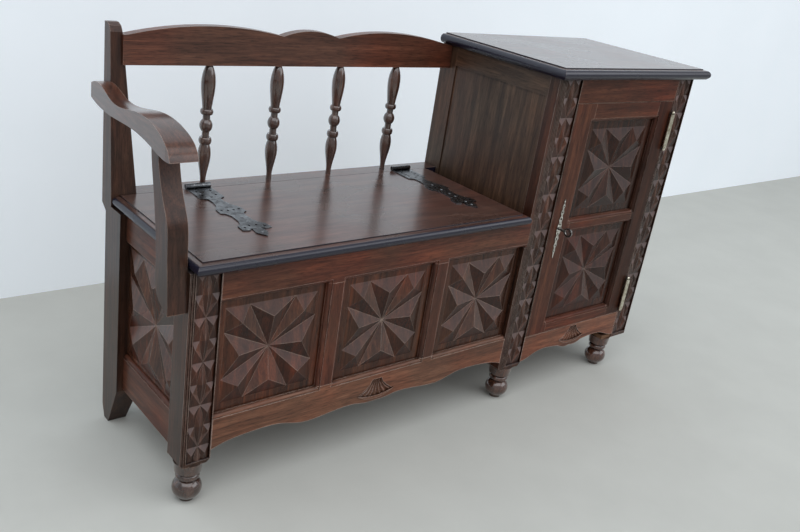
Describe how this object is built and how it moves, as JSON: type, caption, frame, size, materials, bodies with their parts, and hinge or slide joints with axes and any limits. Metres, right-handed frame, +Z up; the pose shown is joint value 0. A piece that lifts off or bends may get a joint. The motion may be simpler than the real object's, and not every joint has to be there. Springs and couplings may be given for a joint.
{
  "type": "telephone bench",
  "caption": "Dark carved wooden telephone bench: storage chest with a lifting seat lid and spindle back, armrest at the left, door cabinet with a table top at the right.",
  "frame": {"origin": "Middle of the bounding box in plan, on the floor.", "axes": "+X runs along the front from the armrest to the cabinet, +Y runs from the front to the back, +Z is up."},
  "size_m": [1.331, 0.388, 0.771],
  "materials": {
    "dark_wood": "satin dark stain, worn",
    "carved_wood": "satin dark stain, chip carved",
    "top_wood": "worn satin stain with grey sheen",
    "inner_wood": "plain, unpolished",
    "black_iron": "blackened, rubbed",
    "hinge_brass": "darkened, dull",
    "brass": "worn, dull",
    "steel": "dull"
  },
  "bodies": {
    "carcase": {"arm": "dark_wood", "arm_support": "dark_wood", "back_post": "dark_wood", "cabinet_apron": "dark_wood", "cabinet_back": "inner_wood", "cabinet_floor": "inner_wood", "cabinet_shelf": "inner_wood", "cabinet_top": "top_wood", "chest_apron": "dark_wood", "chest_back": "inner_wood", "chest_floor": "inner_wood", "chest_panel_left": "carved_wood", "chest_panel_middle": "carved_wood", "chest_panel_right": "carved_wood", "chest_top_rail": "dark_wood", "crest_rail": "dark_wood", "end_bottom_rail": "dark_wood", "end_panel": "carved_wood", "end_top_rail": "dark_wood", "foot_block": "inner_wood", "foot_left": "dark_wood", "foot_middle": "dark_wood", "foot_right": "dark_wood", "frieze_rail": "dark_wood", "hinge_post_lower": "hinge_brass", "hinge_post_upper": "hinge_brass", "muntin_left": "dark_wood", "muntin_right": "dark_wood", "post_left": "dark_wood", "post_middle": "dark_wood", "post_right": "dark_wood", "rear_post_left": "dark_wood", "rear_post_right": "dark_wood", "seat_strip": "top_wood", "side_panel_left": "dark_wood", "side_panel_right": "dark_wood", "side_top_rail_left": "dark_wood", "side_top_rail_right": "dark_wood", "spindle_1": "dark_wood", "spindle_2": "dark_wood", "spindle_3": "dark_wood", "spindle_4": "dark_wood", "strap_leaf_left": "black_iron", "strap_leaf_right": "black_iron"},
    "lid": {"seat_lid": "top_wood", "strap_left": "black_iron", "strap_right": "black_iron"},
    "door": {"door_panel_lower": "carved_wood", "door_panel_upper": "carved_wood", "door_rail_bottom": "dark_wood", "door_rail_middle": "dark_wood", "door_rail_top": "dark_wood", "door_stile_hinge": "dark_wood", "door_stile_lock": "dark_wood", "hinge_door_lower": "hinge_brass", "hinge_door_upper": "hinge_brass", "escutcheon": "brass", "lock_case": "steel"},
    "key": {"key": "steel"},
    "bolt": {"lock_bolt": "steel"}
  },
  "joints": [
    {"name": "lid_hinge", "type": "hinge", "parent": "carcase", "child": "lid", "pos_m": [-0.4515, 0.154, 0.474], "axis": [-1, 0, 0], "range_deg": [0, 90]},
    {"name": "door_hinge", "type": "hinge", "parent": "carcase", "child": "door", "pos_m": [0.5725, -0.162, 0.168], "axis": [0, 0, 1], "range_deg": [0, 170]},
    {"name": "key_turn", "type": "hinge", "parent": "door", "child": "key", "pos_m": [0.2575, -0.156, 0.4195], "axis": [0, 1, 0], "range_deg": [0, 180]},
    {"name": "bolt_slide", "type": "slide", "parent": "door", "child": "bolt", "axis": [-1, 0, 0], "range_m": [0, 0.009]}
  ],
  "couplings": [
    {"joint": "key_turn", "follows": "bolt_slide", "rad_per_m": 349}
  ]
}
